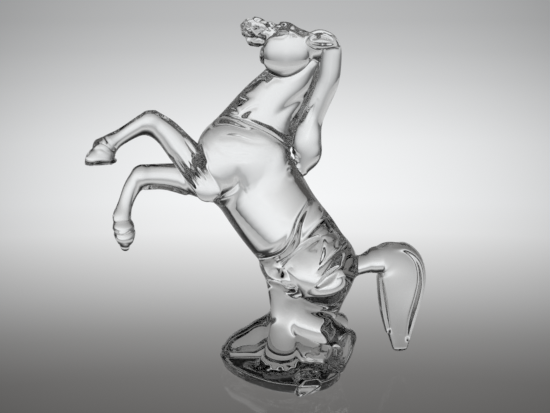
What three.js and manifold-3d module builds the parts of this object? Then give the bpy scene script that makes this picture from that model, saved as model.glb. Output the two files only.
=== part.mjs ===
// Rearing horse figurine in solid clear crystal, on an oval plinth with a rock on its rim.
// The real figure is a single casting, with nothing inside it and nothing that moves. Here each
// mass of the figure is a solid of its own, parted from its neighbours by a hairline seam.
// Frame: millimetres, +Z up, origin at the middle of the plinth's underside. The horse faces -X,
// and its near (left) side is towards -Y.
import * as THREE from "three";
import { RoundedBoxGeometry } from "three/addons/geometries/RoundedBoxGeometry.js";
import { mergeVertices } from "three/addons/utils/BufferGeometryUtils.js";
import Module from "manifold-3d";

// Driving dimensions, in millimetres.
const FIGURE_HEIGHT = 300; // from the table to the nostrils
const SEAM = 0.3; // hairline between two masses
const CRUMB = 0.02; // an edge shorter than this is merged away
const PLINTH_HEIGHT = 11.4;
const PLINTH_BEVEL = 1.2;
const FOOT_TAPER = 0.09; // share by which the plinth draws in from its top to its foot

// The sculptor's unit: every station below is in hundredths of the figure's height.
const UNIT = FIGURE_HEIGHT / 100;
const PLINTH_TOP = PLINTH_HEIGHT / UNIT;

// How finely the masses are faceted.
const SIDES = 12; // facets round a limb
const STEPS = 2; // rings from one station to the next
const DOME_RINGS = 2; // rings on each rounded end
const OUTLINE_STEPS = 44; // facets round the plinth

const NEAR = -1; // the horse's left side, towards -Y
const FAR = 1;

const wasm = await Module();
wasm.setup();

const crystal = new THREE.MeshStandardMaterial({
  color: 0xe9edee,
  roughness: 0.03,
  metalness: 0,
  transparent: true,
  opacity: 0.35,
});

// ---------------------------------------------------------------------------- shaping tools

/** A three.js geometry as a manifold-3d solid. */
function solidOf(geometry) {
  const bare = geometry.index ? geometry.toNonIndexed() : geometry.clone();
  bare.deleteAttribute("normal");
  bare.deleteAttribute("uv");
  const merged = mergeVertices(bare, 1e-4);
  return new wasm.Manifold(
    new wasm.Mesh({
      numProp: 3,
      vertProperties: merged.attributes.position.array,
      triVerts: new Uint32Array(merged.index.array),
    }),
  );
}

/** A manifold-3d solid as a three.js geometry. */
function geometryOf(solid) {
  const mesh = solid.getMesh();
  const positions = new Float32Array(mesh.numVert * 3);
  for (let i = 0; i < mesh.numVert; i++) {
    const first = i * mesh.numProp;
    positions.set(mesh.vertProperties.subarray(first, first + 3), i * 3);
  }
  const geometry = new THREE.BufferGeometry();
  geometry.setAttribute("position", new THREE.BufferAttribute(positions, 3));
  geometry.setIndex(new THREE.BufferAttribute(mesh.triVerts, 1));
  return geometry.toNonIndexed();
}

/** Points of a smooth line through the stations, with the size of the section at each. */
function sections(stations) {
  const centres = stations.map((s) => new THREE.Vector3(s[0], s[1], s[2]));
  const halves = stations.map((s) => new THREE.Vector3(s[3], s[4], 0));
  const line = new THREE.CatmullRomCurve3(centres, false, "centripetal");
  const count = (stations.length - 1) * STEPS;
  const swell = new THREE.CatmullRomCurve3(halves, false, "catmullrom", 0.5);
  return Array.from({ length: count + 1 }, (_, i) => {
    const t = i / count;
    const half = swell.getPoint(t);
    return {
      centre: line.getPoint(t),
      along: line.getTangent(t),
      depth: half.x,
      width: half.y,
    };
  });
}

/**
 * A rounded limb through its stations. A station is [x, y, z, depth, width]: its centre, its
 * half-thickness as seen from the horse's side, and its half-thickness across the horse. The
 * section is an ellipse, or squarer where square is over 2; grow thickens it all over, and a
 * cut limb ends in a flat face at its last station.
 */
function limb(stations, { square = 2, grow = 0, cut = false } = {}) {
  const rings = [];
  const across = new THREE.Vector3(0, 1, 0);
  const ring = (section, shift, scale) => {
    const { along, depth, width } = section;
    const side = across.clone().addScaledVector(along, -across.dot(along));
    side.normalize();
    const up = new THREE.Vector3().crossVectors(along, side);
    const centre = section.centre.clone().addScaledVector(along, shift);
    const points = Array.from({ length: SIDES }, (_, k) => {
      const angle = (2 * Math.PI * k) / SIDES;
      const bend = (value) => Math.sign(value) * Math.abs(value) ** (2 / square);
      return centre
        .clone()
        .addScaledVector(up, bend(Math.cos(angle)) * (depth + grow) * scale)
        .addScaledVector(side, bend(Math.sin(angle)) * (width + grow) * scale)
        .multiplyScalar(UNIT);
    });
    rings.push(points);
  };
  const path = sections(stations);
  const dome = (section, sense) => {
    const reach = Math.min(section.depth, section.width) + grow;
    const angles = Array.from(
      { length: DOME_RINGS },
      (_, k) => (Math.PI / 2) * ((k + 1) / (DOME_RINGS + 1)),
    );
    const order = sense < 0 ? angles.reverse() : angles;
    order.forEach((a) => ring(section, sense * reach * Math.sin(a), Math.cos(a)));
    return section.centre
      .clone()
      .addScaledVector(section.along, sense * reach)
      .multiplyScalar(UNIT);
  };
  const first = dome(path[0], -1);
  path.forEach((section) => ring(section, 0, 1));
  const end = path[path.length - 1];
  const flatEnd = () => end.centre.clone().addScaledVector(end.along, grow).multiplyScalar(UNIT);
  const last = cut ? flatEnd() : dome(end, 1);

  const corners = [];
  const face = (a, b, c) => corners.push(a, b, c);
  rings.slice(1).forEach((next, i) => {
    const ringBefore = rings[i];
    for (let k = 0; k < SIDES; k++) {
      const n = (k + 1) % SIDES;
      face(ringBefore[k], ringBefore[n], next[n]);
      face(ringBefore[k], next[n], next[k]);
    }
  });
  const open = rings[0];
  const close = rings[rings.length - 1];
  for (let k = 0; k < SIDES; k++) {
    const n = (k + 1) % SIDES;
    face(first, open[n], open[k]);
    face(last, close[k], close[n]);
  }
  const geometry = new THREE.BufferGeometry().setFromPoints(corners);
  const solid = solidOf(geometry);
  return solid.volume() > 0 ? solid : solidOf(flipped(corners));
}

/** Stations of a round boss, flat like a lens: its middle, radius and half-width. */
function boss([x, y, z], radius, width) {
  return [-60, -30, 0, 30, 60].map((degrees) => {
    const turn = THREE.MathUtils.degToRad(degrees);
    const swell = Math.cos(turn);
    return [x + radius * Math.sin(turn), y, z, radius * swell, width * swell];
  });
}

/** The same faces turned round. */
function flipped(corners) {
  const turned = [];
  for (let i = 0; i < corners.length; i += 3) {
    turned.push(corners[i], corners[i + 2], corners[i + 1]);
  }
  return new THREE.BufferGeometry().setFromPoints(turned);
}

/** A mass made of limbs that run into each other, exact and grown by the seam. */
function mass(...limbs) {
  const join = (grow) =>
    limbs
      .map(([stations, options = {}]) => limb(stations, { ...options, grow }))
      .reduce((whole, next) => whole.add(next));
  const exact = join(0);
  return { exact, grown: join(SEAM / UNIT).add(exact) };
}

/** The stations moved across to one side of the horse, and along it by forward. */
function onSide(side, stations, forward = 0) {
  return stations.map(([x, y, z, depth, width]) => [
    x + forward,
    side * y,
    z,
    depth,
    width,
  ]);
}

/** The largest body of a solid, so that no loose crumb is left by a cut. */
function largest(solid) {
  return solid
    .decompose()
    .reduce((best, next) => (next.volume() > best.volume() ? next : best));
}

/** A block that holds everything on one side of the horse's middle, from an inset outwards. */
function halfSpace(side, inset) {
  const size = 4 * FIGURE_HEIGHT;
  const block = new THREE.BoxGeometry(size, size, size);
  block.translate(0, side * (size / 2 + inset), 0);
  return solidOf(block);
}

/** A mass kept to one side of the horse's middle, half a seam short of it. */
function halved(side, { exact, grown }) {
  return {
    exact: exact.intersect(halfSpace(side, SEAM / 2)),
    grown: grown.intersect(halfSpace(side, -SEAM / 2)),
  };
}

/** A block that holds everything above a height, in millimetres. */
function above(height) {
  const size = 4 * FIGURE_HEIGHT;
  const block = new THREE.BoxGeometry(size, size, size);
  block.translate(0, 0, size / 2 + height);
  return solidOf(block);
}

// ------------------------------------------------------------------------------- the plinth

/** The plinth's outline seen from above: pointed under the forehand, broad under the hocks. */
const PLINTH_OUTLINE = [
  [-18.0, 3.2],
  [-14.6, -3.6],
  [-8.4, -10.2],
  [-1.5, -14.4],
  [7.0, -15.4],
  [14.0, -11.4],
  [17.2, -3.0],
  [16.2, 6.2],
  [9.4, 12.8],
  [-0.5, 14.6],
  [-10.6, 12.2],
  [-16.4, 8.2],
];

function plinth(grow = 0) {
  const points = PLINTH_OUTLINE.map(([x, y]) => new THREE.Vector3(x, y, 0));
  const rim = new THREE.CatmullRomCurve3(points, true, "centripetal");
  const inset = PLINTH_BEVEL - grow;
  const outline = rim.getSpacedPoints(OUTLINE_STEPS).slice(0, OUTLINE_STEPS);
  const shape = new THREE.Shape(
    outline.map((p) => {
      const flat = new THREE.Vector2(p.x, p.y).multiplyScalar(UNIT);
      return flat.multiplyScalar(1 - inset / flat.length());
    }),
  );
  const body = new THREE.ExtrudeGeometry(shape, {
    depth: PLINTH_HEIGHT - PLINTH_BEVEL + grow,
    bevelSize: PLINTH_BEVEL,
    bevelThickness: PLINTH_BEVEL,
    bevelSegments: 3,
    steps: 1,
  });
  const corners = body.attributes.position;
  for (let i = 0; i < corners.count; i++) {
    const drawn = 1 - FOOT_TAPER * (1 - corners.getZ(i) / PLINTH_HEIGHT);
    corners.setXY(i, corners.getX(i) * drawn, corners.getY(i) * drawn);
  }
  // The lower bevel is cut away, so that the figure stands on a flat face.
  return solidOf(body).intersect(above(0));
}

/** The block of rock on the near rim: its edges are rounded and it leans a little. */
function rimRock(grow = 0) {
  const edge = 1.1 * UNIT;
  const sides = [6.4, 5.2, 7.4].map((length) => length * UNIT + 2 * grow);
  const block = new RoundedBoxGeometry(...sides, 2, edge);
  block.rotateY(0.16);
  block.rotateZ(0.3);
  block.translate(6.8 * UNIT, -13.4 * UNIT, 2.2 * UNIT);
  return solidOf(block).intersect(above(0));
}

// -------------------------------------------------------------------------------- the masses

/** The ridge of rock that rises from the plinth's tip to the stifles and carries the figure. */
const mound = mass([
  [
    [-14.6, 3.4, 4.6, 3.0, 2.2],
    [-12.2, 3.6, 6.2, 4.2, 2.6],
    [-8.0, 3.6, 7.6, 5.2, 2.8],
    [-3.4, 3.2, 9.4, 6.2, 3.2],
    [2.0, 2.6, 9.6, 6.4, 4.0],
    [8.0, 1.4, 8.6, 5.8, 4.8],
    [12.4, 0.6, 7.4, 4.4, 4.4],
  ],
  { square: 3.2 },
]);

const barrel = mass(
  [
    [
      [-12.2, 0, 64.0, 11.2, 7.4],
      [-7.0, 0, 55.4, 11.9, 8.8],
      [-1.5, 0, 46.4, 11.6, 9.2],
      [4.0, 0, 38.8, 11.0, 8.4],
      [7.5, 0, 34.0, 9.0, 6.0],
    ],
  ],
  // breast, and the breast bone between the forelegs
  [
    [
      [-15.4, 0, 66.6, 8.5, 6.6],
      [-12.8, 0, 64.0, 9.5, 7.0],
    ],
  ],
  [
    [
      [-19.4, 0, 60.0, 3.8, 4.4],
      [-17.4, 0, 54.6, 3.6, 4.4],
    ],
  ],
  // croup, and the seat down to the gaskins
  [
    [
      [2.4, 0, 45.3, 7.0, 7.2],
      [8.0, 0, 41.4, 6.2, 7.0],
      [11.6, 0, 37.6, 6.0, 6.8],
      [14.5, 0, 33.4, 6.0, 6.4],
      [14.2, 0, 28.2, 5.4, 5.2],
      [12.6, 0, 24.0, 4.8, 3.8],
      [11.2, 0, 20.4, 4.4, 2.8],
    ],
  ],
);

const neck = mass([
  [
    [-8.4, 0, 67.6, 11.2, 6.8],
    [-4.1, 0, 75.6, 8.7, 5.5],
    [0.6, 0, 82.0, 7.1, 4.6],
    [3.8, 0, 87.6, 6.0, 3.8],
    [5.6, 0, 90.6, 4.4, 3.2],
  ],
]);

const head = mass(
  // skull, from the poll to the bridge of the nose
  [
    [
      [7.6, 0, 92.0, 3.9, 3.2],
      [3.6, 0, 92.6, 4.6, 3.7],
      [-0.4, 0, 94.6, 3.7, 3.0],
      [-4.4, 0, 95.8, 2.4, 2.3],
    ],
  ],
  // brow
  [
    [
      [4.6, 0, 95.2, 1.4, 2.4],
      [0.8, 0, 97.0, 1.9, 2.8],
      [-2.0, 0, 96.9, 1.2, 2.2],
    ],
  ],
  // the two cheeks
  ...[NEAR, FAR].map((side) => [boss([0.8, side * 1.9, 90.2], 6.3, 2.9)]),
);

const muzzle = mass(
  // upper lip and lower lip
  [
    [
      [-4.2, 0, 96.4, 2.5, 2.4],
      [-7.2, 0, 97.0, 3.1, 3.1],
      [-8.3, 0, 97.1, 2.7, 2.8],
    ],
  ],
  [
    [
      [-4.6, 0, 94.4, 1.6, 1.8],
      [-7.6, 0, 94.4, 1.9, 2.4],
      [-8.6, 0, 94.6, 1.4, 2.0],
    ],
  ],
);

const earOn = (side) =>
  mass([
    onSide(side, [
      [6.2, 2.4, 94.0, 1.5, 1.1],
      [9.4, 3.1, 94.4, 2.2, 1.3],
      [12.4, 3.2, 94.0, 1.6, 1.0],
      [14.4, 2.8, 93.0, 0.5, 0.4],
    ]),
  ]);

const mane = mass([
  [
    [10.6, 0, 94.3, 1.8, 2.6],
    [12.4, 0, 92.6, 2.5, 3.2],
    [12.4, 0, 88.0, 2.8, 3.4],
    [11.7, 0, 83.0, 2.8, 3.4],
    [9.5, 0, 77.6, 2.8, 3.2],
    [7.4, 0, 72.6, 3.1, 3.0],
    [6.4, 0, 67.4, 3.9, 3.0],
    [6.4, 0, 63.4, 3.8, 2.6],
    [5.0, 0, 59.6, 2.0, 1.8],
  ],
  { square: 2.2 },
]);

const shoulderOn = (side) =>
  mass([
    onSide(side, [
      [-3.0, 4.8, 63.4, 4.8, 2.8],
      [-8.0, 5.6, 64.4, 6.6, 3.4],
      [-13.6, 5.4, 63.0, 7.0, 3.8],
      [-17.2, 5.0, 59.0, 5.6, 3.8],
    ]),
  ]);

const nearForearm = mass([
  [
    [-18.4, -5.0, 56.4, 5.2, 3.8],
    [-24.4, -5.8, 64.0, 4.4, 3.5],
    [-29.8, -6.0, 70.4, 3.4, 2.9],
    [-34.0, -6.0, 73.6, 3.1, 2.7],
  ],
]);

const farForearm = mass([
  [
    [-18.6, 5.0, 54.0, 5.2, 3.8],
    [-24.6, 5.6, 55.2, 4.4, 3.3],
    [-31.4, 5.9, 56.2, 3.5, 2.8],
    [-38.2, 6.0, 56.2, 3.1, 2.6],
  ],
]);

const nearForeCannon = mass([
  [
    [-34.6, -6.0, 73.8, 3.1, 2.6],
    [-38.2, -6.0, 72.2, 2.3, 2.1],
    [-42.2, -6.0, 69.8, 2.0, 1.9],
    [-45.0, -6.0, 68.2, 2.5, 2.2],
    [-46.4, -6.0, 67.0, 2.2, 2.0],
  ],
]);

const farForeCannon = mass([
  [
    [-38.8, 6.0, 56.0, 3.1, 2.6],
    [-41.6, 6.0, 52.6, 2.4, 2.1],
    [-43.6, 6.0, 48.0, 2.1, 1.9],
    [-44.7, 6.0, 44.4, 2.6, 2.2],
    [-44.5, 6.0, 42.4, 2.2, 2.0],
  ],
]);

const nearForeHoof = mass([
  [
    [-45.8, -6.0, 67.2, 2.7, 2.4],
    [-46.9, -6.0, 65.4, 3.2, 2.7],
    [-47.7, -6.0, 63.9, 3.9, 3.0],
    [-47.7, -6.0, 62.9, 4.4, 3.1],
  ],
  { square: 2.5, cut: true },
]);

const farForeHoof = mass([
  [
    [-44.4, 6.0, 42.0, 2.7, 2.2],
    [-44.2, 6.0, 40.0, 3.0, 2.8],
    [-44.0, 6.0, 37.6, 2.6, 3.2],
    [-44.2, 6.0, 35.8, 1.7, 2.6],
  ],
]);

const haunchOn = (side) =>
  mass(
    // hip and thigh
    [
      onSide(side, [
        [7.4, 2.6, 43.0, 4.2, 4.4],
        [8.8, 3.2, 38.6, 7.0, 5.6],
        [8.2, 3.8, 34.4, 8.4, 6.0],
        [5.8, 4.2, 31.4, 7.2, 5.8],
        [3.2, 4.4, 29.6, 5.0, 5.0],
      ]),
    ],
    // the fold in front of the thigh
    [
      onSide(side, [
        [-1.0, 2.6, 38.0, 3.0, 4.0],
        [-2.8, 3.2, 34.4, 3.6, 4.0],
        [-1.4, 3.6, 30.0, 3.0, 4.2],
      ]),
    ],
  );

/** How far the far hind foot stands ahead of the near one. */
const FAR_HIND_STEP = -1.6;
const hindStep = (side) => (side === FAR ? FAR_HIND_STEP : 0);

const gaskinOn = (side) =>
  mass(
    // from the stifle back to the hock
    [
      onSide(
        side,
        [
          [2.6, 4.6, 21.4, 4.6, 3.8],
          [6.6, 5.4, 18.0, 4.6, 3.8],
          [11.8, 5.7, 15.2, 4.1, 3.3],
          [16.2, 5.6, 13.2, 3.2, 2.7],
          [18.6, 5.5, 12.8, 1.8, 1.7],
        ],
        hindStep(side),
      ),
    ],
    // its front, down into the mound
    [
      onSide(side, [
        [-1.2, 4.0, 29.0, 3.2, 3.6],
        [-0.3, 4.2, 24.0, 3.4, 4.0],
        [0.4, 4.4, 19.0, 3.5, 4.0],
        [0.0, 4.0, 14.0, 3.7, 3.8],
        [-0.6, 3.8, 9.0, 4.2, 3.6],
        [-1.2, 3.6, 4.6, 5.0, 3.6],
      ]),
    ],
    // its calf
    [
      onSide(side, [
        [10.0, 4.2, 28.4, 6.8, 5.0],
        [10.0, 3.0, 25.0, 6.4, 4.0],
        [9.6, 1.6, 21.8, 5.8, 3.0],
        [9.2, 0.8, 18.6, 5.2, 2.4],
      ]),
    ],
  );

const hindCannonOn = (side) =>
  mass([
    onSide(
      side,
      [
        [17.2, 5.6, 12.8, 3.0, 2.7],
        [16.4, 5.6, 9.2, 3.0, 2.6],
        [15.0, 5.7, 5.6, 2.8, 2.6],
      ],
      hindStep(side),
    ),
    { square: 3.2 },
  ]);

const hindHoofOn = (side) =>
  mass([
    onSide(
      side,
      [
        [15.0, 5.7, 6.2, 2.6, 2.6],
        [13.8, 5.7, 4.0, 3.0, 2.9],
        [13.0, 5.7, 2.0, 3.2, 3.0],
      ],
      hindStep(side),
    ),
  ]);

const tailDock = mass([
  [
    [17.0, 0.2, 31.2, 3.2, 3.0],
    [21.4, 0.8, 32.0, 2.7, 2.6],
    [25.0, 1.5, 33.0, 3.4, 2.6],
  ],
]);

const tailSkirt = mass(
  [
    [
      [26.2, 1.8, 33.4, 3.6, 2.5],
      [29.2, 2.4, 33.4, 4.9, 2.7],
      [32.0, 3.2, 31.4, 6.2, 2.8],
      [33.4, 4.0, 27.4, 6.8, 2.8],
      [33.6, 4.7, 22.4, 6.3, 2.8],
      [33.4, 5.0, 16.6, 5.2, 2.6],
      [33.6, 5.0, 10.4, 3.6, 2.3],
      [34.0, 5.0, 4.6, 2.1, 1.7],
    ],
    { square: 2.1, cut: true },
  ],
  // the thick cords along its outer and inner edges
  [
    [
      [30.4, 2.9, 36.4, 0.9, 2.4],
      [34.2, 3.4, 36.2, 1.2, 2.9],
      [37.6, 3.9, 32.9, 1.3, 3.1],
      [38.9, 4.4, 27.4, 1.3, 3.1],
      [38.3, 4.8, 21.4, 1.4, 3.1],
      [36.8, 5.0, 14.6, 1.4, 2.9],
      [35.9, 5.0, 8.6, 0.9, 2.2],
    ],
  ],
  [
    [
      [27.3, 3.6, 28.2, 0.8, 2.4],
      [28.0, 4.2, 23.0, 1.2, 2.9],
      [29.0, 4.8, 17.0, 1.3, 2.9],
      [30.3, 5.0, 11.0, 1.0, 2.4],
    ],
  ],
);

// ------------------------------------------------------------------------------ the assembly

const figure = new THREE.Group();
let filled = null; // all that is placed so far, grown by the seam

/** Adds a mass to the figure as a named mesh, cut back from all that is already there. */
function place(name, { exact, grown }) {
  const solid = largest((filled ? exact.subtract(filled) : exact).simplify(CRUMB));
  const mesh = new THREE.Mesh(geometryOf(solid), crystal);
  mesh.name = name;
  figure.add(mesh);
  filled = filled ? filled.add(grown) : grown;
}

/** A mass kept a seam clear of the plinth's top. */
function overPlinth({ exact, grown }) {
  return { exact: exact.intersect(above(PLINTH_HEIGHT + SEAM)), grown };
}

place("plinth", { exact: plinth(), grown: plinth(SEAM) });
place("rim_rock", { exact: rimRock(), grown: rimRock(SEAM) });
place("near_haunch", halved(NEAR, haunchOn(NEAR)));
place("far_haunch", halved(FAR, haunchOn(FAR)));
place("barrel", barrel);
for (const [side, name] of [
  [NEAR, "near"],
  [FAR, "far"],
]) {
  place(`${name}_hind_cannon`, overPlinth(hindCannonOn(side)));
  place(`${name}_gaskin`, overPlinth(gaskinOn(side)));
  place(`${name}_hind_hoof`, overPlinth(hindHoofOn(side)));
  place(`${name}_shoulder`, shoulderOn(side));
}
place("mound", overPlinth(mound));
place("near_forearm", nearForearm);
place("far_forearm", farForearm);
place("near_fore_cannon", nearForeCannon);
place("far_fore_cannon", farForeCannon);
place("near_fore_hoof", nearForeHoof);
place("far_fore_hoof", farForeHoof);
place("neck", neck);
place("head", head);
place("muzzle", muzzle);
place("near_ear", earOn(NEAR));
place("far_ear", earOn(FAR));
place("mane", mane);
place("tail_dock", tailDock);
place("tail_skirt", tailSkirt);

export default figure;
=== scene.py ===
"""Looks of the rearing crystal horse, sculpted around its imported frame.

The figure is modelled as clay masses, blended where they run into each other and creased where
they meet sharply, then cast as one crystal skin. The skin is parted again into the figure's
masses, so that each one stands for its own node of the frame. The clay is measured in
hundredths of the figure's height, with the horse facing -X and its near side towards -Y.
"""

import math
from collections import namedtuple

import bpy
import numpy as np
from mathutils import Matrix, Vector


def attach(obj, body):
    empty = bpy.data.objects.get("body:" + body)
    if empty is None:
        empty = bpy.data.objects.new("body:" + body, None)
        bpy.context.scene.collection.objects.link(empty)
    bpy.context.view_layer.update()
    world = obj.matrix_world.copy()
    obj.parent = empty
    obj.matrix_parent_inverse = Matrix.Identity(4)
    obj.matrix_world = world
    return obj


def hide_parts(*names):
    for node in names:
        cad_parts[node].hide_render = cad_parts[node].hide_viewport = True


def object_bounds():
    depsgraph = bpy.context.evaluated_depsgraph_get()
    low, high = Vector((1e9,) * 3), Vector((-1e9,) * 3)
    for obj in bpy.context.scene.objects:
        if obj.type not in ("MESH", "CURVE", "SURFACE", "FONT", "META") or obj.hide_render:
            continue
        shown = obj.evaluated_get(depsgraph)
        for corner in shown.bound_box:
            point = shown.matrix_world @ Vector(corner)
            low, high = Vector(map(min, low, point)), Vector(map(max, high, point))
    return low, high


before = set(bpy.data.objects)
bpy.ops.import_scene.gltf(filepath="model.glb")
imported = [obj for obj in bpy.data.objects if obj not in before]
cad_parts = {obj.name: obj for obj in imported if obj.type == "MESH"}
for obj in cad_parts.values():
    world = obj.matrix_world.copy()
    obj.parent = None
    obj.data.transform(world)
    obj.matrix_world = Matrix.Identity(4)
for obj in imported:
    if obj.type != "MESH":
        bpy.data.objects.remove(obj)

import openvdb
from mathutils import Vector

bl_info = {
    "name": "Rearing crystal horse",
    "version": (1, 0, 0),
    "blender": (4, 5, 0),
    "location": "3D Viewport > Sidebar > Crystal Horse",
    "description": "Sculpts a rearing horse in clear crystal around its frame",
    "category": "Object",
}

CAD_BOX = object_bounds()
PART = CAD_BOX[1].z / 100  # metres in a hundredth of the figure's height
NEAR, FAR_SIDE = -1, 1
EMPTY = 30.0  # distance, in parts, given to clay that is not there

# ------------------------------------------------------------------------------ clay shapes

Ring = namedtuple("Ring", "centre along deep wide depth width")


def smooth_line(stations, steps):
    """Stations and the points between them, on a Catmull-Rom line through them all."""
    s = np.array(stations, float)
    padded = np.vstack([2 * s[0] - s[1], s, 2 * s[-1] - s[-2]])
    points = []
    for i in range(len(s) - 1):
        a, b, c, d = padded[i : i + 4]
        for t in np.arange(steps) / steps:
            points.append(
                b
                + 0.5 * t * (c - a)
                + t**2 * (a - 2.5 * b + 2 * c - 0.5 * d)
                + t**3 * (1.5 * (b - c) + 0.5 * (d - a))
            )
    return np.array([*points, s[-1]])


def blend(a, b, soft):
    """The two distances as one, with the crease between them filled to a radius."""
    gap = np.maximum(soft - np.abs(a - b), 0)
    return np.minimum(a, b) - gap * gap / (4 * soft)


def carve(a, b, soft):
    """The first distance with the second one's shape taken out of it."""
    return -blend(-a, b, soft)


class Limb:
    """A rounded form through stations [x, y, z, depth, width]: half its size as seen from the
    horse's side, and half its size across the horse."""

    STEPS = 5

    def __init__(self, stations, square=2.0, cut=False):
        line = smooth_line(stations, self.STEPS)
        along = np.gradient(line[:, :3], axis=0)
        along /= np.linalg.norm(along, axis=1, keepdims=True)
        across = np.array([0.0, 1.0, 0.0])
        wide = across - along * along[:, 1:2]
        wide /= np.linalg.norm(wide, axis=1, keepdims=True)
        deep = np.cross(along, wide)
        half = np.maximum(line[:, 3:], 0.1)
        self.rings = [
            Ring(line[i, :3], along[i], deep[i], wide[i], half[i, 0], half[i, 1])
            for i in range(len(line))
        ]
        reach = half.max(axis=1, keepdims=True)
        self.low = (line[:, :3] - reach).min(0)
        self.high = (line[:, :3] + reach).max(0)
        self.square, self.cut = square, cut

    def distance(self, axes, reach):
        out = np.full([len(a) for a in axes], EMPTY, np.float32)
        last = len(self.rings) - 2
        for i, (a, b) in enumerate(zip(self.rings, self.rings[1:])):
            size = max(a.depth, a.width, b.depth, b.width) + reach
            low = np.minimum(a.centre, b.centre) - size
            high = np.maximum(a.centre, b.centre) + size
            part = tuple(
                slice(*np.searchsorted(axis, (low[k], high[k])))
                for k, axis in enumerate(axes)
            )
            if any(s.start >= s.stop for s in part):
                continue
            spot = np.ix_(*[axis[s] for axis, s in zip(axes, part)])
            found = self.stretch(spot, a, b, i == 0, i == last)
            out[part] = np.minimum(out[part], found)
        return out

    def stretch(self, spot, a, b, first, last):
        """Distance to the stretch between two rings, with a rounded end on the outer ones."""
        past_a = sum((spot[k] - a.centre[k]) * a.along[k] for k in range(3))
        past_b = sum((spot[k] - b.centre[k]) * b.along[k] for k in range(3))
        room = np.maximum(past_a - past_b, 1e-3)
        t = np.clip(past_a / room, 0, 1).astype(np.float32)

        def between(p, q):
            return p + t * (q - p)

        depth, width = between(a.depth, b.depth), between(a.width, b.width)
        off = [spot[k] - between(a.centre[k], b.centre[k]) for k in range(3)]
        deep = sum(off[k] * between(a.deep[k], b.deep[k]) for k in range(3))
        wide = sum(off[k] * between(a.wide[k], b.wide[k]) for k in range(3))
        u, v = np.abs(deep) / depth, np.abs(wide) / width
        n = self.square
        total, slope = u**n + v**n, (u ** (n - 1) / depth) ** 2 + (v ** (n - 1) / width) ** 2
        outside = (past_a < 0) & (not first) | (past_b > 0) & (not last)
        if first or last:
            beyond = np.maximum(-past_a, 0) * first + np.maximum(past_b, 0) * last
            dome = np.minimum(depth, width)
            w = beyond / dome
            total = total + w**n
            slope = slope + (w ** (n - 1) / dome) ** 2
        scale = np.maximum(total, 1e-6) ** (1 / n)
        found = (scale - 1) / np.maximum(np.sqrt(slope) * scale ** (1 - n), 1e-4)
        if self.cut and last:
            found = -blend(-found, -past_b, 0.5)
        return np.where(outside, EMPTY, np.clip(found, -EMPTY, EMPTY))


class Prism:
    """A slab with a smooth closed outline and a rounded rim, drawn in towards its foot."""

    def __init__(self, outline, height, edge, taper):
        closed = np.array([*outline[-1:], *outline, *outline[:2]], float)
        line = smooth_line(closed, 8)[8:-8]
        self.line = line[:-1] if np.allclose(line[0], line[-1]) else line
        self.height, self.edge, self.taper = height, edge, taper
        self.low = np.array([*self.line.min(0), 0.0])
        self.high = np.array([*self.line.max(0), height])

    def distance(self, axes, reach):
        x, y = np.meshgrid(axes[0], axes[1], indexing="ij")
        far, inside = np.full(x.shape, np.inf), np.zeros(x.shape, bool)
        for (ax, ay), (bx, by) in zip(self.line, np.roll(self.line, -1, 0)):
            ex, ey = bx - ax, by - ay
            t = np.clip(((x - ax) * ex + (y - ay) * ey) / (ex**2 + ey**2), 0, 1)
            far = np.minimum(far, np.hypot(x - ax - t * ex, y - ay - t * ey))
            if ay != by:
                crossed = (ay > y) != (by > y)
                inside ^= crossed & (x < ax + (y - ay) * ex / ey)
        drawn_in = self.taper * np.clip(self.height - axes[2], 0, self.height)
        flat = np.where(inside, -far, far)[:, :, None] + self.edge + drawn_in[None, None, :]
        middle = 0.5 * self.height
        tall = (np.abs(axes[2] - middle) - middle)[None, None, :] + self.edge
        corner = np.hypot(np.maximum(flat, 0), np.maximum(tall, 0))
        return corner + np.minimum(np.maximum(flat, tall), 0) - self.edge


class Block:
    """A block of rock: turned, with rounded edges, and flat facets knocked off its corners."""

    FACET_EDGE = 0.25

    def __init__(self, centre, halves, turn, lean, edge, facets):
        self.centre, self.halves, self.edge = np.array(centre), np.array(halves), edge
        c, s = math.cos(turn), math.sin(turn)
        cl, sl = math.cos(lean), math.sin(lean)
        self.axes = np.array([[c, s, 0], [-s * cl, c * cl, sl], [s * sl, -c * sl, cl]])
        self.facets = [
            (np.array(normal, float) / np.linalg.norm(normal), depth)
            for normal, depth in facets
        ]
        reach = np.linalg.norm(halves)
        self.low, self.high = self.centre - reach, self.centre + reach

    def distance(self, axes, reach):
        spot = np.ix_(*[axis - c for axis, c in zip(axes, self.centre)])
        local = [sum(spot[k] * row[k] for k in range(3)) for row in self.axes]
        over = [np.abs(p) - (h - self.edge) for p, h in zip(local, self.halves)]
        corner = np.sqrt(sum(np.maximum(o, 0) ** 2 for o in over))
        found = corner + np.minimum(np.maximum.reduce(over), 0) - self.edge
        for normal, depth in self.facets:
            plane = sum(local[k] * normal[k] for k in range(3)) - depth
            found = -blend(-found, -plane, self.FACET_EDGE)
        return found


def boss(centre, radius, width):
    """A round boss, flat like a lens across the horse."""
    x, y, z = centre
    stations = []
    for degrees in (-70, -40, 0, 40, 70):
        turn = math.radians(degrees)
        swell = math.cos(turn)
        stations.append([x + radius * math.sin(turn), y, z, radius * swell, width * swell])
    return Limb(stations)


def bead(centre, radius, width=None):
    """A small round swelling."""
    x, y, z = centre
    width = width or radius
    nudge = 0.15 * radius
    return Limb([[x - nudge, y, z, radius, width], [x + nudge, y, z, radius, width]])


def on_side(side, stations, forward=0.0):
    """The stations taken to one side of the horse, and moved along it."""
    return [[x + forward, side * y, z, d, w] for x, y, z, d, w in stations]


# --------------------------------------------------------------------------------- the clay


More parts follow.
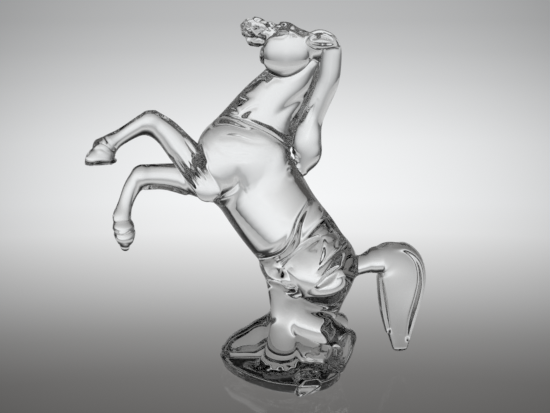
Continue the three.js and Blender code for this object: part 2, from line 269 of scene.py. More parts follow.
class Clay:
    """The whole figure as distances to its skin, with the mass that each spot belongs to."""

    LOW, HIGH = np.array([-56.0, -19.0, -1.5]), np.array([43.5, 18.5, 103.0])
    HOLLOW_EDGE = 0.3  # rounding of a hollow's rim
    MIDDLE = 1.0  # half the width of the strip down the middle that no crease crosses

    def __init__(self, step):
        self.step = step
        count = np.ceil((self.HIGH - self.LOW) / step).astype(int) + 1
        self.axes = [low + step * np.arange(n) for low, n in zip(self.LOW, count)]
        self.field = np.full(count, EMPTY, np.float32)
        self.nearest = np.full(count, EMPTY, np.float32)
        self.owner = np.zeros(count, np.int16)
        self.names = []

    def window(self, low, high):
        return tuple(
            slice(*np.searchsorted(axis, (low[k], high[k])))
            for k, axis in enumerate(self.axes)
        )

    def add(self, name, shapes, soft=1.0, crease=0.5, hollows=()):
        """Adds a mass made of shapes that blend softly, and meet the rest in a crease."""
        reach = max(soft, crease) + 3 * self.step
        low = np.min([s.low for s in shapes], axis=0) - reach
        high = np.max([s.high for s in shapes], axis=0) + reach
        room = self.window(low, high)
        axes = [axis[s] for axis, s in zip(self.axes, room)]
        made = np.full([len(a) for a in axes], EMPTY, np.float32)
        for shape, work in [(s, blend) for s in shapes] + [(h, carve) for h in hollows]:
            part = tuple(
                slice(*np.searchsorted(a, (shape.low[k] - reach, shape.high[k] + reach)))
                for k, a in enumerate(axes)
            )
            found = shape.distance([a[s] for a, s in zip(axes, part)], reach)
            rounding = soft if work is blend else self.HOLLOW_EDGE
            made[part] = work(made[part], found.astype(np.float32), rounding)
        self.names.append(name)
        closer = made < self.nearest[room]
        self.owner[room][closer] = len(self.names) - 1
        self.nearest[room] = np.minimum(self.nearest[room], made)
        self.field[room] = blend(self.field[room], made, crease)

    def hollow(self, shapes, rounding):
        """Takes shapes out of the whole figure as it stands."""
        for shape in shapes:
            reach = rounding + 3 * self.step
            room = self.window(shape.low - reach, shape.high + reach)
            axes = [axis[s] for axis, s in zip(self.axes, room)]
            found = shape.distance(axes, reach).astype(np.float32)
            self.field[room] = carve(self.field[room], found, rounding)

    def ripple(self, centre, reach, depth, waves):
        """Works the skin into small waves around a spot, fading out at its reach."""
        centre, reach = np.array(centre, float), np.array(reach, float)
        room = self.window(centre - reach, centre + reach)
        spot = np.ix_(*[axis[s] for axis, s in zip(self.axes, room)])
        off = sum(((spot[k] - centre[k]) / reach[k]) ** 2 for k in range(3))
        fade = np.clip(2.2 * (1 - off), 0, 1)
        wave = sum(np.sin(sum(spot[k] * turn[k] for k in range(3))) for turn in waves)
        self.field[room] += (depth * fade * wave).astype(np.float32)

    def score(self, points, depth, spread, far_share):
        """Scores a crease into both sides along a line of [x, z] points seen from the side."""
        line = smooth_line(points, 4)
        reach = 3 * spread
        room = self.window(
            [line[:, 0].min() - reach, self.LOW[1], line[:, 1].min() - reach],
            [line[:, 0].max() + reach, self.HIGH[1], line[:, 1].max() + reach],
        )
        x, y, z = [axis[s] for axis, s in zip(self.axes, room)]
        x, z = x[:, None], z[None, :]
        cut = np.zeros((x.size, z.size))
        for i, ((ax, az), (bx, bz)) in enumerate(zip(line, line[1:])):
            ex, ez = bx - ax, bz - az
            t = np.clip(((x - ax) * ex + (z - az) * ez) / (ex**2 + ez**2), 0, 1)
            far = np.hypot(x - ax - t * ex, z - az - t * ez)
            fade = np.sin(math.pi * np.clip((i + t) / (len(line) - 1), 0, 1)) ** 0.5
            cut = np.maximum(cut, fade * np.exp(-((far / spread) ** 2)))
        near, far_side = y < -self.MIDDLE, y > self.MIDDLE
        touched = np.where(near, 1.0, 0.0) + np.where(far_side, far_share, 0.0)
        deeper = depth * cut[:, None, :] * touched[None, :, None]
        self.field[room] += deeper.astype(np.float32)

    def flatten(self, height):
        """Grinds the underside flat."""
        below = height - self.axes[2][None, None, :]
        self.field = np.maximum(self.field, below.astype(np.float32))

    def sample(self, volume, points):
        """Values of a volume at points, blended between its eight nearest corners."""
        spot = np.clip((points - self.LOW) / self.step, 0, np.array(volume.shape) - 1.001)
        first = spot.astype(int)
        t = (spot - first).astype(np.float32)
        total = 0
        for corner in np.ndindex(2, 2, 2):
            share = np.prod(np.where(corner, t, 1 - t), axis=1)
            at = first + corner
            total = total + share * volume[at[:, 0], at[:, 1], at[:, 2]]
        return total

    def skin(self):
        """The skin's points, four-sided faces, unit normals and the mass of each face."""
        grid = openvdb.FloatGrid(EMPTY)
        grid.copyFromArray(self.field)
        points, quads = grid.convertToQuads()
        points = points.astype(float) * self.step + self.LOW
        quads = quads.astype(int)
        slopes = np.gradient(self.field, self.step)
        for _ in range(3):
            slope = np.stack([self.sample(s, points) for s in slopes], axis=1)
            size = np.maximum((slope**2).sum(1), 0.05)
            move = self.sample(self.field, points) / size
            points = points - slope * np.clip(move, -0.5 * self.step, 0.5 * self.step)[:, None]
        normals = np.stack([self.sample(s, points) for s in slopes], axis=1)
        normals /= np.maximum(np.linalg.norm(normals, axis=1, keepdims=True), 1e-6)
        middle = points[quads].mean(1)
        at = np.rint((middle - self.LOW) / self.step).astype(int)
        return points, quads, normals, self.owner[at[:, 0], at[:, 1], at[:, 2]]


CLAY = {}  # the clay that the pieces' operators are working on


# ----------------------------------------------------------------------------- the masses

PLINTH_HEIGHT = 3.8
PLINTH_EDGE = 0.4  # radius of its rim
PLINTH_TAPER = 0.36  # how far its side draws in for each part of height
FOOT_SHARE = 0.86  # the dark under it, as a share of its outline
PLINTH_OUTLINE = [
    [-18.0, 3.2],
    [-14.6, -3.6],
    [-8.4, -10.2],
    [-1.5, -14.4],
    [7.0, -15.4],
    [14.0, -11.4],
    [17.2, -3.0],
    [16.2, 6.2],
    [9.4, 12.8],
    [-0.5, 14.6],
    [-10.6, 12.2],
    [-16.4, 8.2],
]


def add_base(clay):
    clay.add("plinth", [Prism(PLINTH_OUTLINE, PLINTH_HEIGHT, PLINTH_EDGE, PLINTH_TAPER)])
    facets = [
        ([1, -1, 1], 4.6),
        ([-1, -1, 1.2], 4.4),
        ([1, 1, 0.8], 4.4),
        ([-1, 0.2, 0.8], 3.9),
        ([0.3, -1, -0.6], 2.7),
    ]
    rock = Block([6.6, -13.2, 2.5], [3.3, 2.6, 3.6], 0.3, 0.16, 0.15, facets)
    clay.add("rim_rock", [rock], crease=0.2)
    ridge = [
        [-14.6, 3.4, 4.6, 3.0, 2.2],
        [-12.2, 3.6, 6.2, 4.2, 2.6],
        [-8.0, 3.6, 7.6, 5.2, 2.8],
        [-3.4, 3.2, 9.4, 6.2, 3.2],
        [2.0, 2.6, 9.6, 6.4, 4.0],
        [8.0, 1.4, 8.6, 5.8, 4.8],
        [12.4, 0.6, 7.4, 4.4, 4.4],
    ]
    swirl = [
        [-9.6, -3.4, 3.4, 1.0, 1.6],
        [-5.0, -6.4, 3.5, 1.3, 2.0],
        [1.0, -6.0, 3.5, 1.2, 1.8],
        [3.6, -3.0, 3.4, 0.9, 1.4],
    ]
    mound = [Limb(ridge, square=3.2), Limb(swirl)]
    clay.add("mound", mound, soft=1.0, crease=0.6)


def add_trunk(clay):
    barrel = [
        [-12.2, 0, 64.0, 11.2, 7.4],
        [-7.0, 0, 55.4, 11.9, 8.8],
        [-1.5, 0, 46.4, 11.6, 9.2],
        [4.0, 0, 38.8, 11.0, 8.4],
        [7.5, 0, 34.0, 9.0, 6.0],
    ]
    breast = [[-15.4, 0, 66.6, 8.5, 6.6], [-12.8, 0, 64.0, 9.5, 7.0]]
    croup = [
        [2.4, 0, 45.3, 7.0, 7.2],
        [8.0, 0, 41.4, 6.2, 7.0],
        [11.6, 0, 37.6, 6.0, 6.8],
        [14.5, 0, 33.4, 6.0, 6.4],
        [14.2, 0, 28.2, 5.4, 5.2],
        [12.6, 0, 24.0, 4.8, 3.8],
        [11.2, 0, 20.4, 4.4, 2.8],
    ]
    breast_bone = [[-19.4, 0, 60.0, 3.8, 4.4], [-17.4, 0, 54.6, 3.6, 4.4]]
    trunk = [Limb(barrel), Limb(breast), Limb(croup), Limb(breast_bone)]
    clay.add("barrel", trunk, soft=3.0)
    for side, name in ((NEAR, "near"), (FAR_SIDE, "far")):
        shoulder = [
            [-3.0, 4.8, 63.4, 4.8, 2.8],
            [-8.0, 5.6, 64.4, 6.6, 3.4],
            [-13.6, 5.4, 63.0, 7.0, 3.8],
            [-17.2, 5.0, 59.0, 5.6, 3.8],
        ]
        shapes = [Limb(on_side(side, shoulder))]
        clay.add(f"{name}_shoulder", shapes, crease=4.5)


def add_neck_and_head(clay):
    neck = [
        [-8.4, 0, 67.6, 11.2, 6.8],
        [-4.1, 0, 75.6, 8.7, 5.5],
        [0.6, 0, 82.0, 7.1, 4.6],
        [3.8, 0, 87.6, 6.0, 3.8],
        [5.6, 0, 90.6, 4.4, 3.2],
    ]
    clay.add("neck", [Limb(neck)], crease=0.5)
    skull = [
        [7.6, 0, 92.0, 3.9, 3.2],
        [3.6, 0, 92.6, 4.6, 3.7],
        [-0.4, 0, 94.6, 3.7, 3.0],
        [-4.4, 0, 95.8, 2.4, 2.3],
    ]
    brow = [
        [4.6, 0, 95.2, 1.4, 2.4],
        [0.8, 0, 97.0, 1.9, 2.8],
        [-2.0, 0, 96.9, 1.2, 2.2],
    ]
    eyelid = [
        [4.6, 2.6, 95.0, 0.6, 0.7],
        [1.0, 3.3, 96.9, 0.6, 0.7],
        [-1.8, 2.8, 96.6, 0.5, 0.6],
    ]
    socket = [
        [-2.6, 3.2, 95.4, 0.5, 0.7],
        [-0.4, 3.9, 95.6, 0.8, 0.9],
        [0.9, 4.0, 96.0, 0.5, 0.7],
    ]
    features = [Limb(skull), Limb(brow, square=1.7)]
    for side in (NEAR, FAR_SIDE):
        cheek = boss([0.8, side * 1.9, 90.2], 6.3, 2.9)
        eye = bead([1.4, side * 3.2, 95.6], 0.9, 0.8)
        features += [cheek, eye, Limb(on_side(side, eyelid))]
    sockets = [Limb(on_side(side, socket)) for side in (NEAR, FAR_SIDE)]
    clay.add("head", features, soft=0.5, crease=0.35, hollows=sockets)
    upper_lip = [[-4.2, 0, 96.4, 2.5, 2.4], [-7.2, 0, 97.0, 3.1, 3.1], [-8.3, 0, 97.1, 2.7, 2.8]]
    lower_lip = [[-4.6, 0, 94.4, 1.6, 1.8], [-7.6, 0, 94.4, 1.9, 2.4], [-8.6, 0, 94.6, 1.4, 2.0]]
    lips = [Limb(upper_lip), Limb(lower_lip)]
    nostrils = []
    for side in (NEAR, FAR_SIDE):
        lips.append(bead([-8.2, side * 2.2, 98.0], 1.3, 1.1))
        nostrils.append(bead([-8.6, side * 3.2, 98.0], 0.7, 0.8))
    clay.add("muzzle", lips, soft=0.35, crease=0.4, hollows=nostrils)
    for side, name in ((NEAR, "near"), (FAR_SIDE, "far")):
        ear = [
            [6.2, 2.4, 94.0, 1.5, 1.1],
            [9.4, 3.1, 94.4, 2.2, 1.3],
            [12.4, 3.2, 94.0, 1.6, 1.0],
            [14.4, 2.8, 93.0, 0.5, 0.4],
        ]
        bowl = [
            [7.6, 4.3, 94.3, 0.7, 0.8],
            [9.8, 4.7, 94.5, 1.3, 1.0],
            [12.2, 4.4, 94.1, 0.7, 0.7],
        ]
        shapes, hollows = [Limb(on_side(side, ear), square=1.7)], [Limb(on_side(side, bowl))]
        clay.add(f"{name}_ear", shapes, crease=0.25, hollows=hollows)
    mane = [
        [10.6, 0, 94.3, 1.8, 2.6],
        [12.4, 0, 92.6, 2.5, 3.2],
        [12.4, 0, 88.0, 2.8, 3.4],
        [11.7, 0, 83.0, 2.8, 3.4],
        [9.5, 0, 77.6, 2.8, 3.2],
        [7.4, 0, 72.6, 3.1, 3.0],
        [6.4, 0, 67.4, 3.9, 3.0],
        [6.4, 0, 63.4, 3.8, 2.6],
        [5.0, 0, 59.6, 2.0, 1.8],
    ]
    lock_hollow = [
        [8.7, 3.6, 79.0, 0.6, 0.7],
        [7.4, 3.6, 75.0, 1.1, 1.0],
        [5.6, 3.6, 70.8, 0.7, 0.8],
    ]
    hollows = [Limb(on_side(side, lock_hollow)) for side in (NEAR, FAR_SIDE)]
    clay.add("mane", [Limb(mane, square=2.2)], crease=0.25, hollows=hollows)


def add_forelegs(clay):
    near_forearm = [
        [-18.4, -5.0, 56.4, 5.2, 3.8],
        [-24.4, -5.8, 64.0, 4.4, 3.5],
        [-29.8, -6.0, 70.4, 3.4, 2.9],
        [-34.0, -6.0, 73.6, 3.1, 2.7],
    ]
    near_crest = [
        [-23.4, -6.6, 67.4, 1.2, 1.3],
        [-28.6, -6.4, 73.0, 1.1, 1.1],
        [-33.2, -6.1, 76.2, 0.8, 0.9],
    ]
    far_forearm = [
        [-18.6, 5.0, 54.0, 5.2, 3.8],
        [-24.6, 5.6, 55.2, 4.4, 3.3],
        [-31.4, 5.9, 56.2, 3.5, 2.8],
        [-38.2, 6.0, 56.2, 3.1, 2.6],
    ]
    far_crest = [
        [-25.0, 4.8, 58.8, 1.1, 1.2],
        [-30.6, 4.6, 59.0, 1.0, 1.0],
        [-35.0, 5.0, 58.9, 0.6, 0.8],
    ]
    far_cord = [
        [-26.6, 4.2, 52.0, 0.9, 1.2],
        [-32.4, 4.2, 53.6, 0.9, 1.1],
        [-37.6, 4.6, 53.2, 0.7, 0.8],
    ]
    near_cannon = [
        [-34.6, -6.0, 73.8, 3.1, 2.6],
        [-38.2, -6.0, 72.2, 2.3, 2.1],
        [-42.2, -6.0, 69.8, 2.0, 1.9],
        [-45.0, -6.0, 68.2, 2.5, 2.2],
        [-46.4, -6.0, 67.0, 2.2, 2.0],
    ]
    near_shin = [
        [-37.0, -6.4, 74.8, 0.9, 0.9],
        [-41.4, -6.4, 72.0, 0.8, 0.8],
        [-44.8, -6.4, 70.2, 0.7, 0.8],
    ]
    far_cannon = [
        [-38.8, 6.0, 56.0, 3.1, 2.6],
        [-41.6, 6.0, 52.6, 2.4, 2.1],
        [-43.6, 6.0, 48.0, 2.1, 1.9],
        [-44.7, 6.0, 44.4, 2.6, 2.2],
        [-44.5, 6.0, 42.4, 2.2, 2.0],
    ]
    near_hoof = [
        [-45.8, -6.0, 67.2, 2.7, 2.4],
        [-46.9, -6.0, 65.4, 3.2, 2.7],
        [-47.7, -6.0, 63.9, 3.9, 3.0],
        [-47.7, -6.0, 62.9, 4.4, 3.1],
    ]
    near_band = [[-46.4, -6.0, 67.1, 2.9, 2.7], [-46.8, -6.0, 66.8, 3.1, 2.8]]
    far_hoof = [
        [-44.4, 6.0, 42.2, 2.6, 2.2],
        [-44.2, 6.0, 40.2, 3.1, 2.8],
        [-44.1, 6.0, 37.8, 2.6, 2.7],
        [-44.2, 6.0, 35.6, 1.3, 1.6],
    ]
    far_band = [[-44.4, 6.0, 41.6, 3.0, 2.6], [-44.4, 6.0, 41.2, 3.1, 2.7]]
    clay.add("near_forearm", [Limb(near_forearm), Limb(near_crest)], soft=0.6, crease=0.6)
    far_shapes = [Limb(far_forearm), Limb(far_crest), Limb(far_cord)]
    clay.add("far_forearm", far_shapes, soft=0.6, crease=0.6)
    clay.add("near_fore_cannon", [Limb(near_cannon), Limb(near_shin)], soft=0.5, crease=1.2)
    clay.add("far_fore_cannon", [Limb(far_cannon)], crease=1.2)
    hoof = [Limb(near_hoof, square=2.5, cut=True), Limb(near_band)]
    clay.add("near_fore_hoof", hoof, soft=0.2, crease=0.3)
    hoof = [Limb(far_hoof), Limb(far_band)]
    clay.add("far_fore_hoof", hoof, soft=0.2, crease=0.3)


FAR_HIND_STEP = -1.6  # how far the far hind foot stands ahead of the near one


def add_hind_legs(clay):
    for side, name in ((NEAR, "near"), (FAR_SIDE, "far")):
        step = FAR_HIND_STEP if side == FAR_SIDE else 0.0
        gaskin = [
            [2.6, 4.6, 21.4, 4.6, 3.8],
            [6.6, 5.4, 18.0, 4.6, 3.8],
            [11.8, 5.7, 15.2, 4.1, 3.3],
            [16.2, 5.6, 13.2, 3.2, 2.7],
            [18.6, 5.5, 12.8, 1.8, 1.7],
        ]
        front = [
            [-1.2, 4.0, 29.0, 3.2, 3.6],
            [-0.3, 4.2, 24.0, 3.4, 4.0],
            [0.4, 4.4, 19.0, 3.5, 4.0],
            [0.0, 4.0, 14.0, 3.7, 3.8],
            [-0.6, 3.8, 9.0, 4.2, 3.6],
            [-1.2, 3.6, 4.6, 5.0, 3.6],
        ]
        calf = [
            [10.0, 4.2, 28.4, 6.8, 5.0],
            [10.0, 3.0, 25.0, 6.4, 4.0],
            [9.6, 1.6, 21.8, 5.8, 3.0],
            [9.2, 0.8, 18.6, 5.2, 2.4],
        ]
        shapes = [Limb(on_side(side, gaskin, step)), Limb(on_side(side, front))]
        shapes.append(Limb(on_side(side, calf)))
        clay.add(f"{name}_gaskin", shapes, soft=2.0, crease=3.0)
        cannon = [
            [17.2, 5.6, 12.8, 3.0, 2.7],
            [16.4, 5.6, 9.2, 3.0, 2.6],
            [15.0, 5.7, 5.6, 2.8, 2.6],
        ]
        shapes = [Limb(on_side(side, cannon, step), square=3.2)]
        clay.add(f"{name}_hind_cannon", shapes, crease=0.8)
        hoof = [
            [15.0, 5.7, 6.2, 2.6, 2.6],
            [13.8, 5.7, 4.0, 3.0, 2.9],
            [13.0, 5.7, 2.0, 3.2, 3.0],
        ]
        clay.add(f"{name}_hind_hoof", [Limb(on_side(side, hoof, step))], crease=0.3)
        upper = [
            [7.4, 2.6, 43.0, 4.2, 4.4],
            [8.8, 3.2, 38.6, 7.0, 5.6],
            [8.2, 3.8, 34.4, 8.4, 6.0],
            [5.8, 4.2, 31.4, 7.2, 5.8],
            [3.2, 4.4, 29.6, 5.0, 5.0],
        ]
        fold = [
            [-1.0, 2.6, 38.0, 3.0, 4.0],
            [-2.8, 3.2, 34.4, 3.6, 4.0],
            [-1.4, 3.6, 30.0, 3.0, 4.2],
        ]
        haunch = [Limb(on_side(side, upper)), Limb(on_side(side, fold))]
        cleft = [
            [9.4, 9.8, 29.4, 0.8, 1.4],
            [13.4, 9.4, 32.2, 2.0, 2.6],
            [17.4, 7.6, 35.2, 1.0, 1.4],
        ]
        dimple = bead([2.4, side * 9.6, 28.8], 1.3)
        hollows = [Limb(on_side(side, cleft), square=1.5), dimple]
        clay.add(f"{name}_haunch", haunch, soft=1.6, crease=0.9)
        clay.hollow(hollows, rounding=0.25)


def add_tail(clay):
    dock = [
        [17.0, 0.2, 31.2, 3.2, 3.0],
        [21.4, 0.8, 32.0, 2.7, 2.6],
        [25.0, 1.5, 33.0, 3.4, 2.6],
    ]
    skirt = [
        [26.2, 1.8, 33.4, 3.6, 2.5],
        [29.2, 2.4, 33.4, 4.9, 2.7],
        [32.0, 3.2, 31.4, 6.2, 2.8],
        [33.4, 4.0, 27.4, 6.8, 2.8],
        [33.6, 4.7, 22.4, 6.3, 2.8],
        [33.4, 5.0, 16.6, 5.2, 2.6],
        [33.6, 5.0, 10.4, 3.6, 2.3],
        [34.0, 5.0, 4.6, 2.1, 1.7],
    ]
    outer_rim = [
        [30.4, 2.9, 36.4, 0.9, 2.4],
        [34.2, 3.4, 36.2, 1.2, 2.9],
        [37.6, 3.9, 32.9, 1.3, 3.1],
        [38.9, 4.4, 27.4, 1.3, 3.1],
        [38.3, 4.8, 21.4, 1.4, 3.1],
        [36.8, 5.0, 14.6, 1.4, 2.9],
        [35.9, 5.0, 8.6, 0.9, 2.2],
    ]
    inner_rim = [
        [27.3, 3.6, 28.2, 0.8, 2.4],
        [28.0, 4.2, 23.0, 1.2, 2.9],
        [29.0, 4.8, 17.0, 1.3, 2.9],
        [30.3, 5.0, 11.0, 1.0, 2.4],
    ]
    clay.add("tail_dock", [Limb(dock)], crease=1.2)
    slab = Limb(skirt, square=2.1, cut=True)
    clay.add("tail_skirt", [slab, Limb(outer_rim), Limb(inner_rim)], soft=0.7, crease=1.5)


CREASES = [  # points along it seen from the side, depth, half-width and share on the far side
    # flank, in front of the haunch
    ([[7.4, 52.4], [4.2, 47.6], [2.6, 42.4], [-0.2, 38.2], [-6.4, 35.0]], 1.9, 0.8, 0.35),
    # foot of the neck, over the shoulder
    ([[-17.9, 74.7], [-13.7, 74.7], [-9.1, 73.1], [-3.4, 70.4], [1.4, 66.4]], 0.9, 0.5, 0.2),
    # near hoof's upper and lower band
    ([[-49.4, 67.6], [-46.6, 68.4], [-43.4, 66.0]], 0.35, 0.4, 1.0),
    ([[-49.8, 66.6], [-47.0, 67.4], [-43.4, 65.0]], 0.3, 0.35, 1.0),
    # far hoof's band
    ([[-47.8, 40.6], [-44.6, 39.4], [-40.6, 41.0]], 0.5, 0.4, 1.0),
    # fork at the neck's front, and the long soft line up the neck
    ([[-12.0, 74.0], [-9.6, 76.3], [-6.2, 78.1]], 0.7, 0.6, 0.15),
    ([[-3.4, 73.5], [1.8, 77.8], [6.9, 80.7]], 0.4, 1.4, 0.5),
    # elbow
    ([[-12.1, 59.6], [-12.9, 56.9], [-15.9, 54.5], [-18.6, 52.3]], 0.9, 0.7, 0.2),
    # three lens-shaped lines on the shoulder
    ([[-18.6, 71.0], [-15.0, 73.0], [-10.9, 72.2], [-7.0, 71.0]], 0.4, 0.6, 1.0),
    ([[-16.8, 70.1], [-12.2, 70.3], [-8.6, 69.2], [-3.9, 68.5]], 0.35, 0.6, 1.0),
    ([[-17.8, 68.4], [-13.8, 65.8], [-7.6, 65.6]], 0.3, 0.7, 1.0),
    # folds of the haunch, and the curl on the croup
    ([[-0.6, 32.0], [1.2, 36.3], [9.6, 42.6], [10.2, 38.4], [8.4, 33.0]], 0.55, 0.7, 1.0),
    ([[8.6, 33.0], [13.2, 37.7], [17.6, 39.3]], 0.5, 0.7, 1.0),
    ([[10.5, 48.4], [13.9, 43.9], [16.4, 41.4], [14.4, 40.0]], 0.9, 0.7, 1.0),
    # stifle, and two streaks down the thigh
    ([[-4.6, 30.6], [-0.1, 29.5], [2.4, 26.9]], 0.6, 0.7, 0.4),
    ([[4.4, 25.6], [8.0, 23.2], [13.0, 22.0]], 0.6, 0.6, 0.5),
    ([[6.0, 22.4], [10.0, 20.6], [14.4, 19.6]], 0.5, 0.5, 0.5),
    # under the cheek, and across the throat
    ([[-5.6, 88.6], [-3.4, 85.9], [0.7, 84.9], [4.8, 86.7], [8.0, 90.2]], 0.6, 0.5, 1.0),
    ([[-4.6, 82.5], [-2.4, 84.4], [1.4, 83.9]], 0.5, 0.6, 1.0),
]
HAMMERED = [(2.1, 0.9, 1.7), (-1.5, 1.9, 1.6), (0.5, -1.3, 2.6)]
STREAKED = [(2.4, 0.6, 1.7), (1.9, -0.8, 1.0)]
WORKED_SPOTS = [  # centre, reach, depth and waves of each spot that the tool left uneven
    ((-7.6, 0, 96.4), (4.6, 5.0, 4.8), 0.15, HAMMERED),  # muzzle
    ((-2.0, 0, 97.2), (4.0, 4.4, 2.4), 0.15, HAMMERED),  # brow
    ((-24.0, -6.5, 63.4), (6.2, 5.0, 9.0), 0.13, STREAKED),  # near forearm
    ((-24.6, 6.0, 56.6), (5.6, 5.0, 5.2), 0.12, STREAKED),  # far forearm
    ((-19.8, 0, 59.6), (5.0, 10.0, 8.4), 0.13, STREAKED),  # breast
    ((-44.2, 6.0, 36.6), (3.4, 3.4, 3.0), 0.04, HAMMERED),  # far hoof's tip
    ((2.4, 0, 61.4), (2.4, 9.0, 5.6), 0.13, HAMMERED),  # withers
    ((-2.0, -7.0, 3.8), (7.0, 4.0, 2.2), 0.05, HAMMERED),  # plinth's top, under the forehand
    ((9.0, -6.0, 5.4), (5.0, 5.0, 3.4), 0.12, HAMMERED),  # plinth's top, under the hock
]


def score_creases(clay):
    """The sharp lines between muscles, and the uneven spots."""
    for crease in CREASES:
        clay.score(*crease)
    for spot in WORKED_SPOTS:
        clay.ripple(*spot)


# ----------------------------------------------------------------------------- casting


STRAY_PASSES = 12  # times that stray patches are looked for


def joined_labels(quads, labels, count):
    """Labels with every stray patch given to the mass around it."""
    edges = np.stack([quads, np.roll(quads, -1, 1)], axis=2).reshape(-1, 2)
    faces = np.repeat(np.arange(len(quads)), 4)
    key = np.sort(edges, axis=1)
    order = np.lexsort((key[:, 1], key[:, 0]))
    key, faces = key[order], faces[order]
    same = (key[1:] == key[:-1]).all(1)
    one, two = faces[:-1][same], faces[1:][same]
    for _ in range(STRAY_PASSES):
        alike = labels[one] == labels[two]
        patch = connected(len(quads), one[alike], two[alike])
        sizes = np.bincount(patch, minlength=len(quads))
        best = np.zeros(count, int)
        for name in range(count):
            inside = np.flatnonzero(labels == name)
            if len(inside):
                best[name] = patch[inside[np.argmax(sizes[patch[inside]])]]
        stray = patch != best[labels]
        if not stray.any():
            break
        for a, b in ((one, two), (two, one)):
            take = stray[a] & ~stray[b]
            labels[a[take]] = labels[b[take]]
    return labels


def connected(count, one, two):
    """The lowest face in each connected patch of faces, for every face."""
    root = np.arange(count)
    while True:
        low = np.minimum(root[one], root[two])
        new = root.copy()
        np.minimum.at(new, root[one], low)
        np.minimum.at(new, root[two], low)
        new = new[new]
        while (new[new] != new).any():
            new = new[new]
        if (new == root).all():
            return root
        root = new


def seam_caps(quads, points):
    """Faces that close a mass where it was parted from the rest, and their middle points."""
    edges = np.stack([quads, np.roll(quads, -1, 1)], axis=2).reshape(-1, 2)
    tally = {}
    for a, b in edges.tolist():
        tally[(a, b)] = True
    ahead = {}
    for a, b in tally:
        if (b, a) not in tally:
            ahead.setdefault(b, []).append(a)
    caps, middles = [], []
    while ahead:
        start = next(iter(ahead))
        loop, at = [], start
        while at in ahead:
            loop.append(at)
            ends = ahead[at]
            following = ends.pop()
            if not ends:
                del ahead[at]
            at = following
            if at == start:
                break
        middle = len(points) + len(middles)
        middles.append(points[loop].mean(0))
        caps += [[loop[i], loop[(i + 1) % len(loop)], middle] for i in range(len(loop))]
    return caps, middles


def cast_piece(name, points, quads, normals, materials):
    """One mass of the figure as a closed mesh that stands for its node."""
    used, local = np.unique(quads, return_inverse=True)
    local = local.reshape(quads.shape)
    spots, aims = points[used], normals[used]
    caps, middles = seam_caps(local, spots)
    all_points = np.vstack([spots, *middles]) if middles else spots
    mesh = bpy.data.meshes.new(name)
    mesh.from_pydata((all_points * PART).tolist(), [], local.tolist() + caps)
    for material in materials:
        mesh.materials.append(material)
    slots = np.zeros(len(local) + len(caps), np.int32)
    slots[len(local) :] = 1
    mesh.polygons.foreach_set("material_index", slots)
    mesh.polygons.foreach_set("use_smooth", np.ones(len(slots), bool))
    filler = np.tile([0.0, 0.0, 1.0], (len(middles), 1))
    mesh.normals_split_custom_set_from_vertices(np.vstack([aims, filler]).tolist())
    mesh.update()
    piece = bpy.data.objects.new(f"crystal_{name}", mesh)
    bpy.context.scene.collection.objects.link(piece)
    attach(piece, "root")
    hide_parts(name)
    return piece


# ----------------------------------------------------------------------------- materials


class Socket:
    """A shader value that sums, differences, products and so on can be written with."""

    def __init__(self, shader, link):
        self.shader, self.link = shader, link

    def _math(self, operation, *values):
        return self.shader.node("ShaderNodeMath", {"operation": operation}, *values)

    def __add__(self, other):
        return self._math("ADD", self, other)

    def __sub__(self, other):
        return self._math("SUBTRACT", self, other)

    def __rsub__(self, other):
        return self._math("SUBTRACT", other, self)

    def __mul__(self, other):
        return self._math("MULTIPLY", self, other)

    def __truediv__(self, other):
        return self._math("DIVIDE", self, other)

    def __pow__(self, other):
        return self._math("POWER", self, other)

    def clamped(self, low, high):
        return self._math("MINIMUM", self._math("MAXIMUM", self, low), high)

    __radd__, __rmul__ = __add__, __mul__


class Shader:
    """A material's nodes."""

    def __init__(self, name):
        self.material = bpy.data.materials.new(name)
        self.material.use_nodes = True
        self.tree = self.material.node_tree
        self.tree.nodes.clear()

    def node(self, kind, settings=None, *values, output=0, **named):
        """Makes a node: its settings first, then the values or links of its sockets."""
        made = self.tree.nodes.new(kind)
        for key, value in (settings or {}).items():
            if key == "stops":
                while len(made.color_ramp.elements) < len(value):
                    made.color_ramp.elements.new(0.5)
                for element, (place, colour) in zip(made.color_ramp.elements, value):
                    element.position, element.color = place, colour
            elif key == "interpolation":
                made.color_ramp.interpolation = value
            else:
                setattr(made, key, value)
        pairs = list(enumerate(values))
        pairs += [(key.replace("_", " "), value) for key, value in named.items()]
        for key, value in pairs:
            if isinstance(value, Socket):
                self.tree.links.new(value.link, made.inputs[key])
            else:
                made.inputs[key].default_value = value
        return Socket(self, made.outputs[output]) if len(made.outputs) else None

    def axis(self, letter):
        """How far along X, Y or Z a spot is, in metres."""
        place = self.node("ShaderNodeNewGeometry")
        return self.node("ShaderNodeSeparateXYZ", None, place, output="XYZ".index(letter))

    def ramp(self, stops, interpolation, along):
        """Colours between stops, picked by a value from 0 to 1."""
        settings = {"stops": stops, "interpolation": interpolation}
        return self.node("ShaderNodeValToRGB", settings, along)

    def multiplied(self, one, other):
        """The product of two colours."""
        mixed = {"data_type": "RGBA", "blend_type": "MULTIPLY"}
        mix = self.node("ShaderNodeMix", mixed, 1.0, output=2).link.node
        self.tree.links.new(one.link, mix.inputs[6])
        self.tree.links.new(other.link, mix.inputs[7])
        return Socket(self, mix.outputs[2])

    def finish(self, surface):
        self.node("ShaderNodeOutputMaterial", None, Surface=surface)
        return self.material


